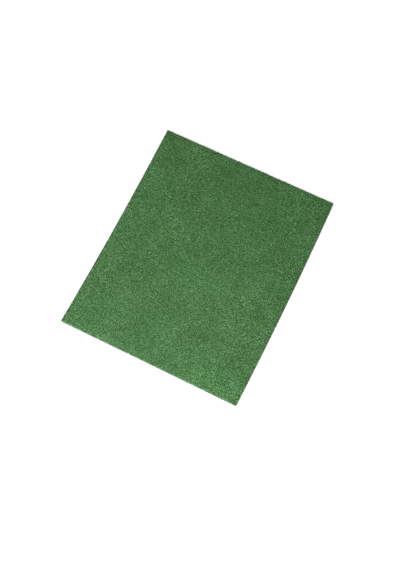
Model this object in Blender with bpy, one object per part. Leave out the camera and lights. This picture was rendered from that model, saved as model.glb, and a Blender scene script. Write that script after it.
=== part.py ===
"""Abrasive hand pad: one sheet of lofty, resin-bonded fibre web, die-cut to a rectangle.

The pad lies flat on its underside. Its origin is the middle of its footprint, +X runs across it,
+Y along it and +Z up out of the face that does the rubbing.

The form has three parts, and each is a formula of the sizes below:
- the outline, a rectangle with small round corners whose two long edges bow the same way, because
  the web was drawn sideways as it was cut;
- the face, which is gently uneven, as a web of loose fibres is, and is pressed down all round where
  the cutting die squeezed it;
- the cut edge, which leans inwards from the flat underside up to the rounded rim of the face.
"""

import math

import bmesh
import bpy
from mathutils import Vector, noise

# Overall sizes, in metres
PAD_WIDTH = 0.230  # between the corners of a short edge
PAD_LENGTH = 0.280  # between the corners of a long edge
PAD_THICKNESS = 0.005  # of the loose web, away from the cut

# The outline
CORNER_RADIUS = 0.001  # of the cutting die's corners
EDGE_BOW = 0.0018  # how far the middle of each long edge stands towards +X

# The cut edge
CRUSH_WIDTH = 0.009  # how far in from the cut the die pressed the web
CRUSH_DEPTH = 0.0010  # how far the web was pressed down at the cut
RIM_RADIUS = 0.0008  # of the face where it turns into the cut
CUT_LEAN = 0.0005  # how far the cut leans inwards on its way up
CUT_HOLLOW = 0.0003  # how far the cut is hollowed between the underside and the rim

# The uneven face
LOFT_DEPTH = 0.00045  # about the most that it dips or swells from the middle level
LOFT_SPAN = 0.045  # from one swell to the next
LOFT_OCTAVES = 3  # layers of unevenness, each half the size of the last
LOFT_SEED = 7.3  # which stretch of the web this pad was cut from

# Facets
CELL = 0.0075  # of the face, away from the cut
CORNER_STEPS = 3  # cells across the round of a corner
CRUSH_STEPS = 3  # cells across the rest of the pressed border
CUT_STEPS = 3  # cells up the cut

NODE = "abrasive_pad"
WEB_GREEN = (0.075, 0.180, 0.064, 1.0)
WEB_ROUGHNESS = 0.95


def clear_scene():
    for old in list(bpy.data.objects):
        bpy.data.objects.remove(old, do_unlink=True)


def grid_lines(length):
    """Places of the face's grid lines across a side of this length, closer together at both cuts."""
    half = length / 2
    steps = [CORNER_RADIUS * i / CORNER_STEPS for i in range(CORNER_STEPS)]
    pressed = max(CRUSH_WIDTH - CORNER_RADIUS, 0.0)
    if pressed > 0:
        steps += [CORNER_RADIUS + pressed * i / CRUSH_STEPS for i in range(CRUSH_STEPS)]
    border = CORNER_RADIUS + pressed
    open_face = length - 2 * border
    cells = math.ceil(open_face / CELL)
    low = [-half + step for step in steps]
    middle = [-half + border + open_face * i / cells for i in range(cells + 1)]
    high = [half - step for step in reversed(steps)]
    return low + middle + high


def rounded(x, y, width, length):
    """The point of a rectangle's grid moved so that the grid fills a rectangle with round corners."""
    over_x = abs(x) - (width / 2 - CORNER_RADIUS)
    over_y = abs(y) - (length / 2 - CORNER_RADIUS)
    if over_x <= 0 or over_y <= 0:
        return x, y
    u, v = over_x / CORNER_RADIUS, over_y / CORNER_RADIUS
    moved_x = width / 2 - CORNER_RADIUS + CORNER_RADIUS * u * math.sqrt(1 - v * v / 2)
    moved_y = length / 2 - CORNER_RADIUS + CORNER_RADIUS * v * math.sqrt(1 - u * u / 2)
    return math.copysign(moved_x, x), math.copysign(moved_y, y)


def distance_inside(x, y):
    """How far a point of the straight outline lies inside its edge."""
    over_x = abs(x) - (PAD_WIDTH / 2 - CORNER_RADIUS)
    over_y = abs(y) - (PAD_LENGTH / 2 - CORNER_RADIUS)
    outside_corner = math.hypot(max(over_x, 0), max(over_y, 0))
    return CORNER_RADIUS - outside_corner - min(max(over_x, over_y), 0)


def bowed(x, y):
    """The point moved with the web, which bows most halfway along and leaves the box centred."""
    along = 2 * y / PAD_LENGTH
    return x + EDGE_BOW * (0.5 - along * along), y


def pressed_depth(inside):
    """How far the die pressed the face down at this distance in from the cut."""
    slope = max(1 - inside / CRUSH_WIDTH, 0)
    depth = CRUSH_DEPTH * slope * slope
    if inside < RIM_RADIUS:
        reach = RIM_RADIUS - inside
        depth += RIM_RADIUS - math.sqrt(RIM_RADIUS * RIM_RADIUS - reach * reach)
    return depth


def loft(x, y):
    """How far the web swells or dips here."""
    place = Vector((x / LOFT_SPAN, y / LOFT_SPAN, LOFT_SEED))
    return LOFT_DEPTH * noise.fractal(place, 1.0, 2.0, LOFT_OCTAVES)


def face_height(x, y):
    inside = distance_inside(x, y)
    loose = min(inside / CRUSH_WIDTH, 1)
    return PAD_THICKNESS - pressed_depth(max(inside, 0)) + loose * loft(x, y)


def cut_inset(share):
    """How far in the cut stands at this share of the way up from the underside."""
    return CUT_LEAN * share + CUT_HOLLOW * math.sin(math.pi * share)


def inset(x, y, by):
    """The point moved in towards the middle as the outline shrinks by this much on every side."""
    return x * (1 - 2 * by / PAD_WIDTH), y * (1 - 2 * by / PAD_LENGTH)


def add_face(bm):
    """The face, as a grid that fills the rounded outline. Returns each point's place on it."""
    xs, ys = grid_lines(PAD_WIDTH), grid_lines(PAD_LENGTH)
    bmesh.ops.create_grid(bm, x_segments=len(xs) - 1, y_segments=len(ys) - 1, size=0.5)
    places = {}
    for vert in bm.verts:
        column = round((vert.co.x + 0.5) * (len(xs) - 1))
        row = round((vert.co.y + 0.5) * (len(ys) - 1))
        places[vert] = rounded(xs[column], ys[row], PAD_WIDTH, PAD_LENGTH)
    return places


def add_cut(bm, places):
    """The cut, as rings drawn down from the face's border. Returns how far up each ring's points lie,
    as a share of the face's height there, and the edges of the lowest ring."""
    shares = {}
    ring = [edge for edge in bm.edges if edge.is_boundary]
    for step in range(1, CUT_STEPS + 1):
        above = {vert for edge in ring for vert in edge.verts}
        made = bmesh.ops.extrude_edge_only(bm, edges=ring)["geom"]
        ring = [item for item in made if isinstance(item, bmesh.types.BMEdge) and item.is_boundary]
        below = {vert for edge in ring for vert in edge.verts}
        for vert in below:
            source = next(e.other_vert(vert) for e in vert.link_edges if e.other_vert(vert) in above)
            places[vert] = places[source]
            shares[vert] = 1 - step / CUT_STEPS
    return shares, ring


def place_points(places, shares):
    """Every point moved from its place on the flat outline to its place on the pad."""
    for vert, (x, y) in places.items():
        share = shares.get(vert, 1.0)
        height = face_height(x, y) * share
        vert.co = Vector((*bowed(*inset(x, y, cut_inset(share))), height))


def build_web():
    """The pad's mesh: the face, the cut below its border, and one flat underside."""
    bm = bmesh.new()
    places = add_face(bm)
    shares, border = add_cut(bm, places)
    place_points(places, shares)
    bmesh.ops.edgeloop_fill(bm, edges=border)
    bmesh.ops.recalc_face_normals(bm, faces=bm.faces)
    mesh = bpy.data.meshes.new(NODE)
    bm.to_mesh(mesh)
    bm.free()
    mesh.shade_smooth()
    mesh.set_sharp_from_angle(angle=math.radians(40))
    return mesh


def web_material():
    material = bpy.data.materials.new("green fibre web")
    material.use_nodes = True
    shader = material.node_tree.nodes["Principled BSDF"]
    shader.inputs["Base Color"].default_value = WEB_GREEN
    shader.inputs["Roughness"].default_value = WEB_ROUGHNESS
    shader.inputs["Metallic"].default_value = 0.0
    material.diffuse_color = WEB_GREEN
    return material


def main():
    clear_scene()
    parts = bpy.data.collections.new("Abrasive hand pad")
    bpy.context.scene.collection.children.link(parts)
    pad = bpy.data.objects.new(NODE, build_web())
    pad.data.materials.append(web_material())
    parts.objects.link(pad)


main()
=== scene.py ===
"""Looks of the abrasive hand pad: an open web of curly, resin-coated fibres, cut to a rectangle.

The web is two closed layers, the upper and the lower half of its thickness, whose faces carry the
hills, hollows and pores of the real web. Over them lie thousands of modelled fibres, which dive in
and out of the faces, run along the cut edge and end in it. All of it follows the CAD node's box.
"""

import math

import bmesh
import bpy
import numpy as np
from mathutils import Matrix, Vector, noise


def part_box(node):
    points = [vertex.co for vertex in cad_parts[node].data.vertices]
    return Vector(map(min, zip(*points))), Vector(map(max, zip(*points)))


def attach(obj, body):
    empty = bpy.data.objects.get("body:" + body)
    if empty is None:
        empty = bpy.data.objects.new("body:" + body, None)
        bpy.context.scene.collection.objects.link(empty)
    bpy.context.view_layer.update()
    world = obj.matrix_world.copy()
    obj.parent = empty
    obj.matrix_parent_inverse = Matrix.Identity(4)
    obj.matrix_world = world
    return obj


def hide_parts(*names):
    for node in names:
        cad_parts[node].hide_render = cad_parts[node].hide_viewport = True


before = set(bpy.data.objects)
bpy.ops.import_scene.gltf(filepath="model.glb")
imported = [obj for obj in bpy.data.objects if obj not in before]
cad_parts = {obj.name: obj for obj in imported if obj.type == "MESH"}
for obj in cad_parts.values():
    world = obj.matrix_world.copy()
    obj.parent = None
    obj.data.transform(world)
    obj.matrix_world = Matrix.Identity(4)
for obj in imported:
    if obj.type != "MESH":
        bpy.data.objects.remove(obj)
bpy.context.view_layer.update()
NODE = "abrasive_pad"
LOW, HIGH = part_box(NODE)

# The pad's form, as the CAD node has it, in metres
EDGE_BOW = 0.0018
CORNER_RADIUS = 0.001
CRUSH_WIDTH = 0.009
CRUSH_DEPTH = 0.0010
RIM_RADIUS = 0.0008
CUT_LEAN = 0.0005
CUT_HOLLOW = 0.0003
WIDTH = HIGH.x - LOW.x - EDGE_BOW
LENGTH = HIGH.y - LOW.y
THICKNESS = 0.005
LOFT_DEPTH = 0.00045
LOFT_SPAN = 0.045
LOFT_OCTAVES = 3
LOFT_SEED = 7.3

# The camera, at the photograph's viewing angle
PHOTO_WIDTH, PHOTO_HEIGHT = 400, 570
FOCAL_PIXELS = 878.5
SENSOR = 36.0
CAMERA_PLACE = (0.1563, -0.3124, 1.0037)
CAMERA_AZIMUTH = 26.76
CAMERA_ELEVATION = 72.31
CAMERA_ROLL = -0.59


# Random fields

LATTICE = 512


def noise_field(x, y, span, seed):
    """Smooth random heights, mostly from -1 to 1, with about one hill or hollow to each span."""
    turns = np.random.default_rng(seed).uniform(0, 2 * math.pi, (LATTICE, LATTICE))
    u, v = x / span, y / span
    i, j = np.floor(u).astype(int), np.floor(v).astype(int)
    f, g = u - i, v - j

    def corner(right, up):
        turn = turns[(i + right) % LATTICE, (j + up) % LATTICE]
        return np.cos(turn) * (f - right) + np.sin(turn) * (g - up)

    s, t = f * f * (3 - 2 * f), g * g * (3 - 2 * g)
    below = corner(0, 0) * (1 - s) + corner(1, 0) * s
    above = corner(0, 1) * (1 - s) + corner(1, 1) * s
    return 2 * (below * (1 - t) + above * t)


def ridges(x, y, span, seed):
    """Winding ridges, from 0 between them to 1 along their tops."""
    return 1 - np.clip(np.abs(noise_field(x, y, span, seed)) * 2.2, 0, 1)


# The pad's outline and faces


def rounded(x, y):
    """Grid points of a rectangle moved so that the grid fills a rectangle with round corners."""
    over_x = np.abs(x) - (WIDTH / 2 - CORNER_RADIUS)
    over_y = np.abs(y) - (LENGTH / 2 - CORNER_RADIUS)
    u = np.where(over_y > 0, np.clip(over_x / CORNER_RADIUS, 0, 1), 0)
    v = np.where(over_x > 0, np.clip(over_y / CORNER_RADIUS, 0, 1), 0)
    pull_x = CORNER_RADIUS * u * (1 - np.sqrt(1 - v * v / 2))
    pull_y = CORNER_RADIUS * v * (1 - np.sqrt(1 - u * u / 2))
    return x - np.copysign(pull_x, x), y - np.copysign(pull_y, y)


def distance_inside(x, y):
    """How far points of the straight outline lie inside its edge."""
    over_x = np.abs(x) - (WIDTH / 2 - CORNER_RADIUS)
    over_y = np.abs(y) - (LENGTH / 2 - CORNER_RADIUS)
    round_corner = np.hypot(np.maximum(over_x, 0), np.maximum(over_y, 0))
    return CORNER_RADIUS - round_corner - np.minimum(np.maximum(over_x, over_y), 0)


def bowed(x, y):
    """Points of the straight outline moved with the web's bow."""
    along = 2 * y / LENGTH
    return x + EDGE_BOW * (0.5 - along * along)


def cut_inset(share):
    """How far in the cut stands at this share of the way up from the underside."""
    return CUT_LEAN * share + CUT_HOLLOW * np.sin(np.pi * share)


def loft(x, y):
    """How far the web swells or dips at each point."""
    places = np.stack([x / LOFT_SPAN, y / LOFT_SPAN], -1).reshape(-1, 2).tolist()
    swells = [noise.fractal(Vector((u, v, LOFT_SEED)), 1.0, 2.0, LOFT_OCTAVES) for u, v in places]
    return LOFT_DEPTH * np.array(swells).reshape(x.shape)


def upper_level(x, y):
    """The upper face without its fine relief."""
    inside = np.maximum(distance_inside(x, y), 0)
    slope = np.maximum(1 - inside / CRUSH_WIDTH, 0)
    reach = np.maximum(RIM_RADIUS - inside, 0)
    rim = RIM_RADIUS - np.sqrt(RIM_RADIUS**2 - reach**2)
    loose = np.minimum(inside / CRUSH_WIDTH, 1)
    return THICKNESS - CRUSH_DEPTH * slope**2 - rim + loose * loft(x, y)


def pores(x, y, seed):
    """How deep the pores are, from 0 on the fibres to 1 at the bottom of a pore."""
    wide = np.clip(noise_field(x, y, 0.0022, seed) * 1.4 - 0.15, 0, 1)
    small = np.clip(noise_field(x, y, 0.0019, seed + 1) * 1.6 - 0.2, 0, 1)
    return np.clip(wide + small, 0, 1)


def relief(x, y, seed):
    """The fine relief of a face, which stands out from its level where it is above 0."""
    tufts = 0.00012 * ridges(x, y, 0.0042, seed) + 0.00018 * ridges(x, y, 0.0023, seed + 1)
    return tufts - 0.00015 - 0.00045 * pores(x, y, seed + 2)


# Meshes


def mesh_object(name, points, faces, material, smooth=True):
    """A new object with this mesh, in the row frame."""
    mesh = bpy.data.meshes.new(name)
    mesh.from_pydata(points, [], faces)
    mesh.materials.append(material)
    if smooth:
        mesh.shade_smooth()
    made = bpy.data.objects.new(name, mesh)
    bpy.context.scene.collection.objects.link(made)
    return made


def point_attribute(obj, name, values):
    attribute = obj.data.attributes.new(name, "FLOAT", "POINT")
    attribute.data.foreach_set("value", np.asarray(values, np.float32))


def bake_map(obj, places):
    """The map that a bake uses, with each point at one place on it."""
    layer = obj.data.uv_layers.new(name="OFBake")
    corner = np.empty(len(obj.data.loops), np.int32)
    obj.data.loops.foreach_get("vertex_index", corner)
    layer.uv.foreach_set("vector", np.asarray(places, np.float32)[corner].ravel())
    return layer


UNSEEN_SHARE = 0.02  # of the map's side, for the inner side that nothing sees


def web_layer(name, cell, face, depth, seam, rings, material):
    """One half of the web's thickness: a relieved face, the cut all round it, and a flat inner side.

    face(x, y) is the height of the face, and depth(x, y) how deep its pores are.
    """
    across, along = round(WIDTH / cell), round(LENGTH / cell)
    grid_x, grid_y = np.meshgrid(
        np.linspace(-WIDTH / 2, WIDTH / 2, across + 1),
        np.linspace(-LENGTH / 2, LENGTH / 2, along + 1),
    )
    x, y = rounded(grid_x.ravel(), grid_y.ravel())
    z = face(x, y)
    index = np.arange(len(x)).reshape(along + 1, across + 1)
    rim = np.concatenate([index[0, :-1], index[:-1, -1], index[-1, :0:-1], index[:0:-1, 0]])
    facing = 1 if z.mean() > seam else -1
    total = THICKNESS
    share = np.clip(z[rim] / total, 0, 1)
    shrink = np.zeros(len(x))
    shrink[rim] = cut_inset(share)
    points = [np.stack([x, y, z], 1)]
    unfolded = [np.stack([x, y], 1)]
    quads = [
        np.stack([index[:-1, :-1], index[:-1, 1:], index[1:, 1:], index[1:, :-1]], -1).reshape(-1, 4)
    ]
    above, start = rim, len(x)
    out = np.stack([x[rim], y[rim]], 1)
    square = np.array([WIDTH, LENGTH]) / 2 - CORNER_RADIUS
    side = out - np.clip(out, -square, square)
    side /= np.linalg.norm(side, axis=1, keepdims=True)
    for ring in range(1, rings + 1):
        part = ring / rings
        height = z[rim] + (seam - z[rim]) * part
        along_rim = np.arange(len(rim)) * cell
        rough = 0.00022 * noise_field(along_rim, height * 2.5, 0.0017, 31 + ring)
        inward = cut_inset(height / total) + rough * (ring < rings)
        place = out - side * inward[:, None]
        points.append(np.column_stack([place, height]))
        unfolded.append(out + side * np.abs(height - z[rim])[:, None])
        below = np.arange(start, start + len(rim))
        quads.append(np.stack([above, below, np.roll(below, -1), np.roll(above, -1)], 1))
        above, start = below, start + len(rim)
    points = np.concatenate(points)
    points[rim, :2] -= side * shrink[rim, None]
    points[:, 0] = bowed(points[:, 0], points[:, 1])
    faces = [list(quad)[::facing] for quad in np.concatenate(quads).tolist()]
    faces.append(above.tolist()[::-facing])
    made = mesh_object(name, points, faces, material)
    sunk = np.concatenate([depth(x, y), np.full(len(points) - len(x), 0.25)])
    point_attribute(made, "pore", sunk)
    # The cut and the face's outermost ring take the paler cut colour: partly the cut fibres' own pale colour,
    # partly a painted highlight where the cut catches the light.
    edge = np.concatenate([np.zeros(len(x)), np.ones(len(points) - len(x))])
    edge[rim] = 0.3
    point_attribute(made, "cut", edge)
    flat = np.concatenate(unfolded)
    layer = bake_map(made, flat / (LENGTH + 0.016) + 0.5)
    for corner in made.data.polygons[len(faces) - 1].loop_indices:
        layer.uv[corner].vector = layer.uv[corner].vector * UNSEEN_SHARE
    return made


# Fibres


def tubes(name, paths, radii, shades, material):
    """Fibres as one mesh of three-sided closed tubes. paths is a list of arrays of as many fibres each,
    by their number of points; radii and shades are their fibres' thicknesses and shades of green."""
    turns = np.arange(3) * 2 * math.pi / 3
    all_points, all_faces, all_shades, all_places, start = [], [], [], [], 0
    for path, radius, shade in zip(paths, radii, shades, strict=True):
        fibres, count = path.shape[:2]
        if not fibres:
            continue
        tangent = np.gradient(path, axis=1)
        tangent /= np.linalg.norm(tangent, axis=2, keepdims=True)
        side = np.cross(tangent, (0.0, 0.0, 1.0))
        side /= np.maximum(np.linalg.norm(side, axis=2, keepdims=True), 1e-6)
        up = np.cross(tangent, side)
        around = side[:, :, None] * np.cos(turns)[:, None] + up[:, :, None] * np.sin(turns)[:, None]
        ring = path[:, :, None] + around * radius[:, :, None, None]
        index = start + np.arange(fibres * count * 3).reshape(fibres, count, 3)
        after = np.roll(index, -1, axis=2)
        walls = np.stack([index[:, :-1], after[:, :-1], after[:, 1:], index[:, 1:]], -1)
        all_faces += walls.reshape(-1, 4).tolist()
        all_faces += index[:, 0, ::-1].tolist() + index[:, -1].tolist()
        all_points.append(ring.reshape(-1, 3))
        all_shades.append(np.repeat(shade, count * 3))
        along = np.linspace(0.02, 0.98, count)[None, :, None]
        width = (np.arange(3) - 1)[None, None] * 0.004
        u = 0.02 + 0.96 * shade[:, None, None] + width + 0 * along
        all_places.append(np.stack([u, along + 0 * u], -1).reshape(-1, 2))
        start += fibres * count * 3
    made = mesh_object(name, np.concatenate(all_points), all_faces, material)
    point_attribute(made, "shade", np.concatenate(all_shades))
    places = np.concatenate(all_places)
    point_attribute(made, "along", places[:, 1])
    bake_map(made, places)
    return made


def by_length(path, lengths, radius, shade, least):
    """The fibres grouped by how many of their points they keep."""
    paths, radii, shades = [], [], []
    for count in range(least, path.shape[1] + 1):
        these = lengths == count
        paths.append(path[these, :count])
        radii.append(radius[these, :count])
        shades.append(shade[these])
    return paths, radii, shades


def face_fibres(name, seed, count, points, step, level, facing, material):
    """Curly fibres that lie over a face, dive into it at both ends and are cut off where they cross
    the pad's edge."""
    rng = np.random.default_rng(seed)
    x0 = rng.uniform(-WIDTH / 2, WIDTH / 2, count)
    y0 = rng.uniform(-LENGTH / 2, LENGTH / 2, count)
    travelled = np.arange(points)[None] * step
    crimp = rng.uniform(0.4, 1.2, (count, 1))
    wave = rng.uniform(0.005, 0.012, (count, 1))
    phase = rng.uniform(0, 2 * math.pi, (count, 1))
    drift = rng.normal(0, 35, (count, 1))
    heading = rng.uniform(0, 2 * math.pi, (count, 1)) + drift * travelled
    heading = heading + crimp * np.sin(2 * math.pi * travelled / wave + phase)
    x = x0[:, None] + step * np.cumsum(np.cos(heading), axis=1)
    y = y0[:, None] + step * np.cumsum(np.sin(heading), axis=1)
    part = np.linspace(0, 1, points)[None]
    rise = rng.gamma(2.0, 0.00011, (count, 1)) + 0.00012
    bounce = 0.65 + 0.35 * np.sin(2 * math.pi * part * rng.uniform(1, 3, (count, 1)) + phase)
    lift = rise * np.sin(np.pi * part) ** 0.6 * bounce - 0.00012
    z = level(x, y) + facing * lift
    inside = distance_inside(x, y)
    out = inside < 0.0002
    lengths = np.where(out.any(axis=1), out.argmax(axis=1), points)
    thick = rng.uniform(0.000085, 0.000135, (count, 1))
    lumps = 1 + 0.22 * rng.standard_normal((count, points)).clip(-1.5, 1.5)
    shade = rng.beta(5.0, 5.0, count)
    path = np.stack([bowed(x, y), y, np.maximum(z, 0.0002)], -1)
    groups = by_length(path, lengths, thick * lumps, shade, 4)
    return tubes(name, *groups, material)


def outline():
    """Points round the outline before its bow, how far round each lies, and which way out it faces."""
    angles = np.radians(np.concatenate([np.linspace(-90, 0, 7) + 90 * k for k in range(4)] + [[270.0]]))
    sides = np.repeat([(1, -1), (1, 1), (-1, 1), (-1, -1)], 7, axis=0)
    sides = np.concatenate([sides, [(1, -1)]])
    centres = sides * (np.array([WIDTH, LENGTH]) / 2 - CORNER_RADIUS)
    points = centres + CORNER_RADIUS * np.stack([np.cos(angles), np.sin(angles)], 1)
    steps = np.linalg.norm(np.diff(points, axis=0), axis=1)
    return np.concatenate([[0.0], np.cumsum(steps)]), points, angles


ROUND_TRIP, OUTLINE, FACING = outline()


def edge_place(travelled, outward):
    """Points this far round the outline, standing this far out from it."""
    t = np.mod(travelled, ROUND_TRIP[-1])
    angle = np.interp(t, ROUND_TRIP, FACING)
    x = np.interp(t, ROUND_TRIP, OUTLINE[:, 0]) + outward * np.cos(angle)
    y = np.interp(t, ROUND_TRIP, OUTLINE[:, 1]) + outward * np.sin(angle)
    return x, y


def edge_fibres(name, seed, count, points, step, material):
    """Fibres that run along in the cut, one above another as the web was laid."""
    rng = np.random.default_rng(seed)
    t0 = rng.uniform(0, ROUND_TRIP[-1], (count, 1))
    travelled = np.arange(points)[None] * step
    phase = rng.uniform(0, 2 * math.pi, (count, 2, 1))
    t = t0 + travelled * rng.uniform(0.5, 1.0, (count, 1))
    z0 = rng.uniform(0.0003, THICKNESS - 0.0013, (count, 1))
    climb = rng.uniform(0.0001, 0.0005, (count, 1))
    slope = rng.normal(0, 0.12, (count, 1))
    z = z0 + slope * travelled + climb * np.sin(2 * math.pi * travelled / 0.005 + phase[:, 0])
    z = z.clip(0.00015, THICKNESS - 0.0009)
    part = np.linspace(0, 1, points)[None]
    bulge = rng.uniform(0.0, 0.00035, (count, 1))
    stand = bulge * np.sin(np.pi * part) * (0.6 + 0.4 * np.sin(7 * part + phase[:, 1])) - 0.00012
    x, y = edge_place(t, stand - cut_inset(z / THICKNESS))
    path = np.stack([bowed(x, y), y, z], -1)
    thick = rng.uniform(0.00007, 0.00012, (count, 1)) * np.ones((1, points))
    return tubes(name, [path], [thick], [rng.uniform(0, 1, count)], material)


def cut_ends(name, seed, count, points, reach, material):
    """Short ends of fibres that the die cut through, standing out of the cut about this far."""
    rng = np.random.default_rng(seed)
    t = rng.uniform(0, ROUND_TRIP[-1], (count, 1))
    z = rng.uniform(0.0002, THICKNESS - 0.0010, (count, 1))
    part = np.linspace(0, 1, points)[None]
    out = -0.0003 * (1 - part) + rng.gamma(2.0, reach / 2, (count, 1)) * part
    slide = rng.normal(0, 0.6, (count, 1)) * (reach + 0.0003) * part**2
    climb = rng.normal(0, 0.5, (count, 1)) * (reach + 0.0002) * part**2
    z = (z + climb).clip(0.00012, None)
    x, y = edge_place(t + slide, out - cut_inset((z / THICKNESS).clip(0, 1)))
    path = np.stack([bowed(x, y), y, z], -1)
    thick = rng.uniform(0.00006, 0.00012, (count, 1)) * np.ones((1, points))
    return tubes(name, [path], [thick], [rng.uniform(0.2, 1, count)], material)


# Materials


def node(tree, kind, inputs=None, **settings):
    """A new shader node, with its settings, and its inputs linked or set."""
    made = tree.nodes.new(kind)
    for key, value in settings.items():
        setattr(made, key, value)
    for key, value in (inputs or {}).items():
        if isinstance(value, bpy.types.NodeSocket):
            tree.links.new(value, made.inputs[key])
        else:
            made.inputs[key].default_value = value
    return made


def maths(tree, operation, *values, clamp=False):
    inputs = dict(enumerate(values))
    return node(tree, "ShaderNodeMath", inputs, operation=operation, use_clamp=clamp).outputs[0]


def spread(tree, value, low, high, to_low, to_high, smooth=False):
    inputs = {"Value": value, "From Min": low, "From Max": high, "To Min": to_low, "To Max": to_high}
    kind = "SMOOTHSTEP" if smooth else "LINEAR"
    return node(tree, "ShaderNodeMapRange", inputs, interpolation_type=kind).outputs[0]


def grainy(tree, place, scale, detail=0.0, distortion=0.0, roughness=0.5):
    inputs = {"Vector": place, "Scale": scale, "Detail": detail}
    inputs |= {"Distortion": distortion, "Roughness": roughness}
    return node(tree, "ShaderNodeTexNoise", inputs).outputs["Fac"]


def shifted(tree, place, by):
    return node(tree, "ShaderNodeVectorMath", {0: place, 1: by}, operation="ADD").outputs[0]


def ramp(tree, value, stops):
    """A colour ramp through these (place, colour) stops."""
    made = node(tree, "ShaderNodeValToRGB", {"Fac": value})
    elements = made.color_ramp.elements
    while len(elements) < len(stops):
        elements.new(1.0)
    for element, (place, colour) in zip(elements, stops, strict=True):
        element.position = place
        element.color = (*colour, 1.0)
    return made.outputs["Color"]


def new_material(name, roughness, specular):
    material = bpy.data.materials.new(name)
    material.use_nodes = True
    shader = material.node_tree.nodes["Principled BSDF"]
    shader.inputs["Roughness"].default_value = roughness
    shader.inputs["Specular IOR Level"].default_value = specular
    return material, material.node_tree, shader


STRAND_LAYERS = 9
STRAND_TURN = math.radians(77)  # from one layer's lie to the next
STRAND_SPACING = 0.0013
STRAND_HALF_WIDTH = 0.075  # in spacings
LOWEST_LIE = 0.55
CRIMP_SCALE, CRIMP_REACH = 180, 0.0036
DRIFT_SCALE, DRIFT_REACH = 34, 0.013
CUT_STRETCH = 3.0  # how much closer than on the faces strands lie over one another in the cut


def strands(tree, place):
    """A mat of long wavy strands, layer over layer, each layer a set of lines that one direction and
    some smooth noise set out. Returns how high the topmost strand lies at each point, and that
    strand's own shade."""
    drifts = [grainy(tree, shifted(tree, place, (0.0, 0.9 * i, 0.4)), DRIFT_SCALE) for i in range(2)]
    highest, shade, last_crimp = 0.0, 0.0, drifts[0]
    for i in range(STRAND_LAYERS):
        turn = i * STRAND_TURN
        across = (math.cos(turn), math.sin(turn), CUT_STRETCH)
        line = node(tree, "ShaderNodeVectorMath", {0: place, 1: across}, operation="DOT_PRODUCT").outputs["Value"]
        crimp = grainy(tree, shifted(tree, place, (0.31 * i, 0.17 * i, 0.23 * i)), CRIMP_SCALE * (0.85 + 0.04 * i))
        line = maths(tree, "MULTIPLY_ADD", crimp, CRIMP_REACH, line)
        line = maths(tree, "MULTIPLY_ADD", drifts[0], DRIFT_REACH * math.cos(3 * turn), line)
        line = maths(tree, "MULTIPLY_ADD", drifts[1], DRIFT_REACH * math.sin(3 * turn), line)
        value = maths(tree, "MULTIPLY_ADD", line, 1 / STRAND_SPACING, 500.5 * (i + 1))
        own = node(
            tree, "ShaderNodeTexWhiteNoise", {"W": maths(tree, "ROUND", value)}, noise_dimensions="1D"
        ).outputs["Value"]
        off = maths(tree, "PINGPONG", value, 0.5)
        profile = spread(tree, off, 0.0, STRAND_HALF_WIDTH, 1.0, 0.0, smooth=True)
        there = spread(tree, own, 0.15, 0.30, 0.0, 1.0)
        level = LOWEST_LIE + (1 - LOWEST_LIE) * (i + 1) / STRAND_LAYERS
        weave = spread(tree, last_crimp, 0.38, 0.60, 0.35 * level, level)
        height = maths(tree, "MULTIPLY", maths(tree, "MULTIPLY", profile, there), weave)
        above = maths(tree, "GREATER_THAN", height, highest)
        shade = node(tree, "ShaderNodeMix", {"Factor": above, 2: shade, 3: own}).outputs[0]
        highest = maths(tree, "MAXIMUM", highest, height)
        last_crimp = crimp
    return highest, shade


# The web's greens: painted shade in the gaps and deep pores at the dark end, the topmost strands at the light end.
GREENS = (
    (0.00, (0.005, 0.040, 0.003)),
    (0.25, (0.040, 0.157, 0.024)),
    (0.50, (0.153, 0.355, 0.134)),
    (0.75, (0.250, 0.508, 0.233)),
    (1.00, (0.360, 0.680, 0.342)),
)
# The cut's colours: pale spots of cut fibre ends over a paler green, which is partly the cut fibres' own colour
# and partly a painted highlight.
CUT_SPOT_SCALE = 1500
PALES = (
    (0.00, (0.040, 0.090, 0.033)),
    (0.50, (0.200, 0.330, 0.180)),
    (1.00, (0.620, 0.720, 0.600)),
)


def mixed(tree, how, factor, one, two):
    inputs = {"Factor": factor, 6: one, 7: two}
    return node(tree, "ShaderNodeMix", inputs, data_type="RGBA", blend_type=how).outputs[2]


GRAIN_SCALE = 830
CLOUD_SCALE = 20
CLOUD_DARK, CLOUD_LIGHT = (0.80, 0.865, 0.79), (1.20, 1.135, 1.21)
TINT_SCALE = 15
WARM_TINT = (1.07, 0.99, 1.04)
COOL_TINT = (0.93, 1.01, 0.96)


def clouded(tree, place, colour):
    """The colour with the soft patches of a web whose fibres lie more or less densely."""
    cloud = grainy(tree, place, CLOUD_SCALE, detail=3.0, roughness=0.55)
    light = ramp(tree, spread(tree, cloud, 0.25, 0.75, 0.0, 1.0), ((0.0, CLOUD_DARK), (1.0, CLOUD_LIGHT)))
    tint = grainy(tree, shifted(tree, place, (3.1, 1.7, 0.0)), TINT_SCALE, detail=2.0)
    tint = maths(tree, "MULTIPLY_ADD", cloud, 0.25, maths(tree, "MULTIPLY", tint, 0.75))
    tint = ramp(tree, spread(tree, tint, 0.3, 0.7, 0.0, 1.0), ((0.0, WARM_TINT), (1.0, COOL_TINT)))
    return mixed(tree, "MULTIPLY", 1.0, mixed(tree, "MULTIPLY", 1.0, colour, light), tint)


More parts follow.
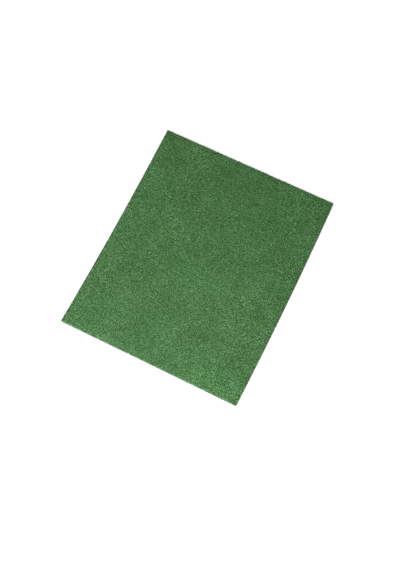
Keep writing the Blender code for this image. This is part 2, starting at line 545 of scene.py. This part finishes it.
def web_material():
    """The body of the web: strands over pores, with painted shade that darkens the strands the lower they lie, the
    pores and the dark grains of a coarse grain; soft clouds; and a paler cut, partly pale cut fibre and partly a
    painted highlight.
    """
    material, tree, shader = new_material("green fibre web", 0.75, 0.30)
    place = node(tree, "ShaderNodeTexCoord").outputs["Object"]
    mat, own = strands(tree, place)
    grain = grainy(tree, place, GRAIN_SCALE, detail=1.0, roughness=0.6)
    pore = node(tree, "ShaderNodeAttribute", attribute_name="pore").outputs["Fac"]
    cut = node(tree, "ShaderNodeAttribute", attribute_name="cut").outputs["Fac"]
    # Painted shade: the colour darkens the lower the topmost strand lies, in deep pores and in the dark grains;
    # each strand's own tone varies it too.
    lit = maths(tree, "MULTIPLY", mat, maths(tree, "MULTIPLY_ADD", own, 0.40, 0.60))
    painted_pore_shade = maths(tree, "MULTIPLY_ADD", pore, -0.25, spread(tree, grain, 0.25, 0.75, -0.85, 3.05))
    shade = maths(tree, "MULTIPLY_ADD", lit, painted_pore_shade, 0.12, clamp=True)
    green = clouded(tree, place, ramp(tree, shade, GREENS))
    spots = node(tree, "ShaderNodeTexVoronoi", {"Vector": place, "Scale": CUT_SPOT_SCALE}).outputs["Distance"]
    spots = spread(tree, spots, 0.15, 0.32, 0.95, 0.0)
    pale = ramp(tree, maths(tree, "MAXIMUM", shade, spots), PALES)
    # The cut is painted paler: partly pale cut fibre, partly painted highlight.
    colour = mixed(tree, "MIX", cut, green, pale)
    tree.links.new(colour, shader.inputs["Base Color"])
    bump = node(tree, "ShaderNodeBump", {"Height": mat, "Distance": 0.00035, "Strength": 0.9})
    tree.links.new(bump.outputs["Normal"], shader.inputs["Normal"])
    return material


def fibre_material(name, dark, middle, pale):
    """A fibre's resin coat: each fibre has its own shade, and the coat is uneven along it. The fibres also grow
    lighter and darker in the same small patches as the web's grain.
    """
    material, tree, shader = new_material(name, 0.50, 0.40)
    shade = node(tree, "ShaderNodeAttribute", attribute_name="shade").outputs["Fac"]
    along = node(tree, "ShaderNodeAttribute", attribute_name="along").outputs["Fac"]
    spot = node(tree, "ShaderNodeCombineXYZ", {"X": maths(tree, "MULTIPLY", shade, 40.0), "Y": along})
    beads = grainy(tree, spot.outputs[0], 9.0, detail=1.0)
    place = node(tree, "ShaderNodeTexCoord").outputs["Object"]
    # Lighter and darker in the same small patches as the web's grain, on fibres and web alike.
    grain = grainy(tree, place, GRAIN_SCALE, detail=1.0, roughness=0.6)
    value = maths(tree, "ADD", shade, spread(tree, beads, 0.3, 0.7, -0.10, 0.10))
    value = maths(tree, "ADD", value, spread(tree, grain, 0.25, 0.75, -0.95, 0.95), clamp=True)
    colour = clouded(tree, place, ramp(tree, value, ((0.0, dark), (0.5, middle), (1.0, pale))))
    tree.links.new(colour, shader.inputs["Base Color"])
    return material


# Floor, lights and camera

FLOOR_SIZE = 6.0
FLOOR_ALBEDO = 0.70
FLOOR_GLOW = 0.72
GLOW_NEAR, GLOW_FAR = 0.25, 0.70
FILL = 0.35
FILL_COLOUR = (1.00, 1.00, 0.94)
KEY_COLOUR = (1.00, 1.00, 1.04)
KEY_POWER = 5.6
KEY_PLACE = (0.02, -0.55, 0.52)
KEY_SIZE = 0.40


def seen_directly(tree):
    """1 for rays that see the surface from the camera, in a reflection or through something clear."""
    path = node(tree, "ShaderNodeLightPath")
    seen = maths(tree, "MAXIMUM", path.outputs["Is Camera Ray"], path.outputs["Is Glossy Ray"])
    return maths(tree, "MAXIMUM", seen, path.outputs["Is Transmission Ray"])


def floor():
    mesh = bpy.data.meshes.new("floor")
    bm = bmesh.new()
    bmesh.ops.create_grid(bm, x_segments=1, y_segments=1, size=FLOOR_SIZE / 2)
    bm.to_mesh(mesh)
    bm.free()
    made = bpy.data.objects.new("floor", mesh)
    bpy.context.scene.collection.objects.link(made)
    material, tree, shader = new_material("pale floor", 1.0, 0.0)
    shader.inputs["Base Color"].default_value = (FLOOR_ALBEDO, FLOOR_ALBEDO, FLOOR_ALBEDO, 1)
    place = node(tree, "ShaderNodeTexCoord").outputs["Object"]
    away = node(tree, "ShaderNodeVectorMath", {0: place}, operation="LENGTH").outputs["Value"]
    glow = spread(tree, away, GLOW_NEAR, GLOW_FAR, FLOOR_GLOW, 1.0)
    shader.inputs["Emission Color"].default_value = (1, 1, 1, 1)
    tree.links.new(maths(tree, "MULTIPLY", glow, seen_directly(tree)), shader.inputs["Emission Strength"])
    mesh.materials.append(material)


def light_world():
    world = bpy.data.worlds.new("soft white room")
    world.use_nodes = True
    bpy.context.scene.world = world
    tree = world.node_tree
    seen = seen_directly(tree)
    strength = spread(tree, seen, 0.0, 1.0, FILL, 1.0)
    background = tree.nodes["Background"]
    colour = mixed(tree, "MIX", seen, (*FILL_COLOUR, 1.0), (1.0, 1.0, 1.0, 1.0))
    tree.links.new(colour, background.inputs["Color"])
    tree.links.new(strength, background.inputs["Strength"])


def aimed(place, at):
    """A matrix at this place whose -Z axis points at another."""
    back = (place - at).normalized()
    turn = back.to_track_quat("Z", "Y").to_matrix().to_4x4()
    return Matrix.Translation(place) @ turn


def key_light():
    data = bpy.data.lights.new("key", "AREA")
    data.shape = "DISK"
    data.size = KEY_SIZE
    data.energy = KEY_POWER
    data.color = KEY_COLOUR
    made = bpy.data.objects.new("key", data)
    bpy.context.scene.collection.objects.link(made)
    place = Matrix.Translation(KEY_PLACE).to_translation()
    made.matrix_world = aimed(place, place * 0)


def camera():
    """The photograph's camera: its place, aim and roll, and the lens for its frame."""
    data = bpy.data.cameras.new("camera")
    data.sensor_width = SENSOR
    data.lens = SENSOR * FOCAL_PIXELS / max(PHOTO_WIDTH, PHOTO_HEIGHT)
    data.clip_start, data.clip_end = 0.01, 20.0
    made = bpy.data.objects.new("camera", data)
    bpy.context.scene.collection.objects.link(made)
    turn = Matrix.Rotation(math.radians(CAMERA_AZIMUTH), 4, "Z")
    tip = Matrix.Rotation(math.radians(90 - CAMERA_ELEVATION), 4, "X")
    roll = Matrix.Rotation(math.radians(CAMERA_ROLL), 4, "Z")
    made.matrix_world = Matrix.Translation(CAMERA_PLACE) @ turn @ tip @ roll
    bpy.context.scene.camera = made


# The pad


def declare(piece):
    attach(piece, "root")
    return piece


def build_pad():
    seam = THICKNESS * 0.45
    lower_level = 0.00042

    def upper(x, y):
        calm = np.clip(distance_inside(x, y) / 0.0015, 0.35, 1)
        return upper_level(x, y) + calm * relief(x, y, 41)

    def lower(x, y):
        inner = np.clip(distance_inside(x, y) / 0.003, 0, 1)
        return 0.0001 + inner * np.maximum(lower_level - 0.0001 - 0.7 * relief(x, y, 51), 0)

    def lower_flat(x, y):
        return lower_level + 0 * x

    web = web_material()
    fibre = fibre_material("green fibre", (0.038, 0.172, 0.023), (0.130, 0.326, 0.110), (0.275, 0.546, 0.256))
    ends = fibre_material("cut fibre ends", (0.14, 0.26, 0.12), (0.34, 0.46, 0.31), (0.66, 0.74, 0.62))
    halves = [
        web_layer("web_upper", 0.00095, upper, lambda x, y: pores(x, y, 43), seam, 3, web),
        web_layer("web_lower", 0.0016, lower, lambda x, y: pores(x, y, 53), seam, 4, web),
    ]
    for half in halves:
        declare(half)
        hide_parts(NODE)
    step = 0.00125
    for i in range(3):
        declare(face_fibres(f"fibres_face_{i + 1}", 101 + i, 3000, 11, step, upper_level, 1, fibre))
    declare(face_fibres("fibres_back", 110, 1800, 11, step, lower_flat, -0.55, fibre))
    declare(edge_fibres("fibres_in_cut", 120, 2000, 5, 0.0010, ends))
    declare(cut_ends("fibre_ends", 121, 7000, 2, 0.00012, ends))
    declare(cut_ends("loose_ends", 122, 700, 4, 0.00060, ends))


bpy.context.scene.view_settings.view_transform = "Standard"
floor()
light_world()
key_light()
camera()
build_pad()
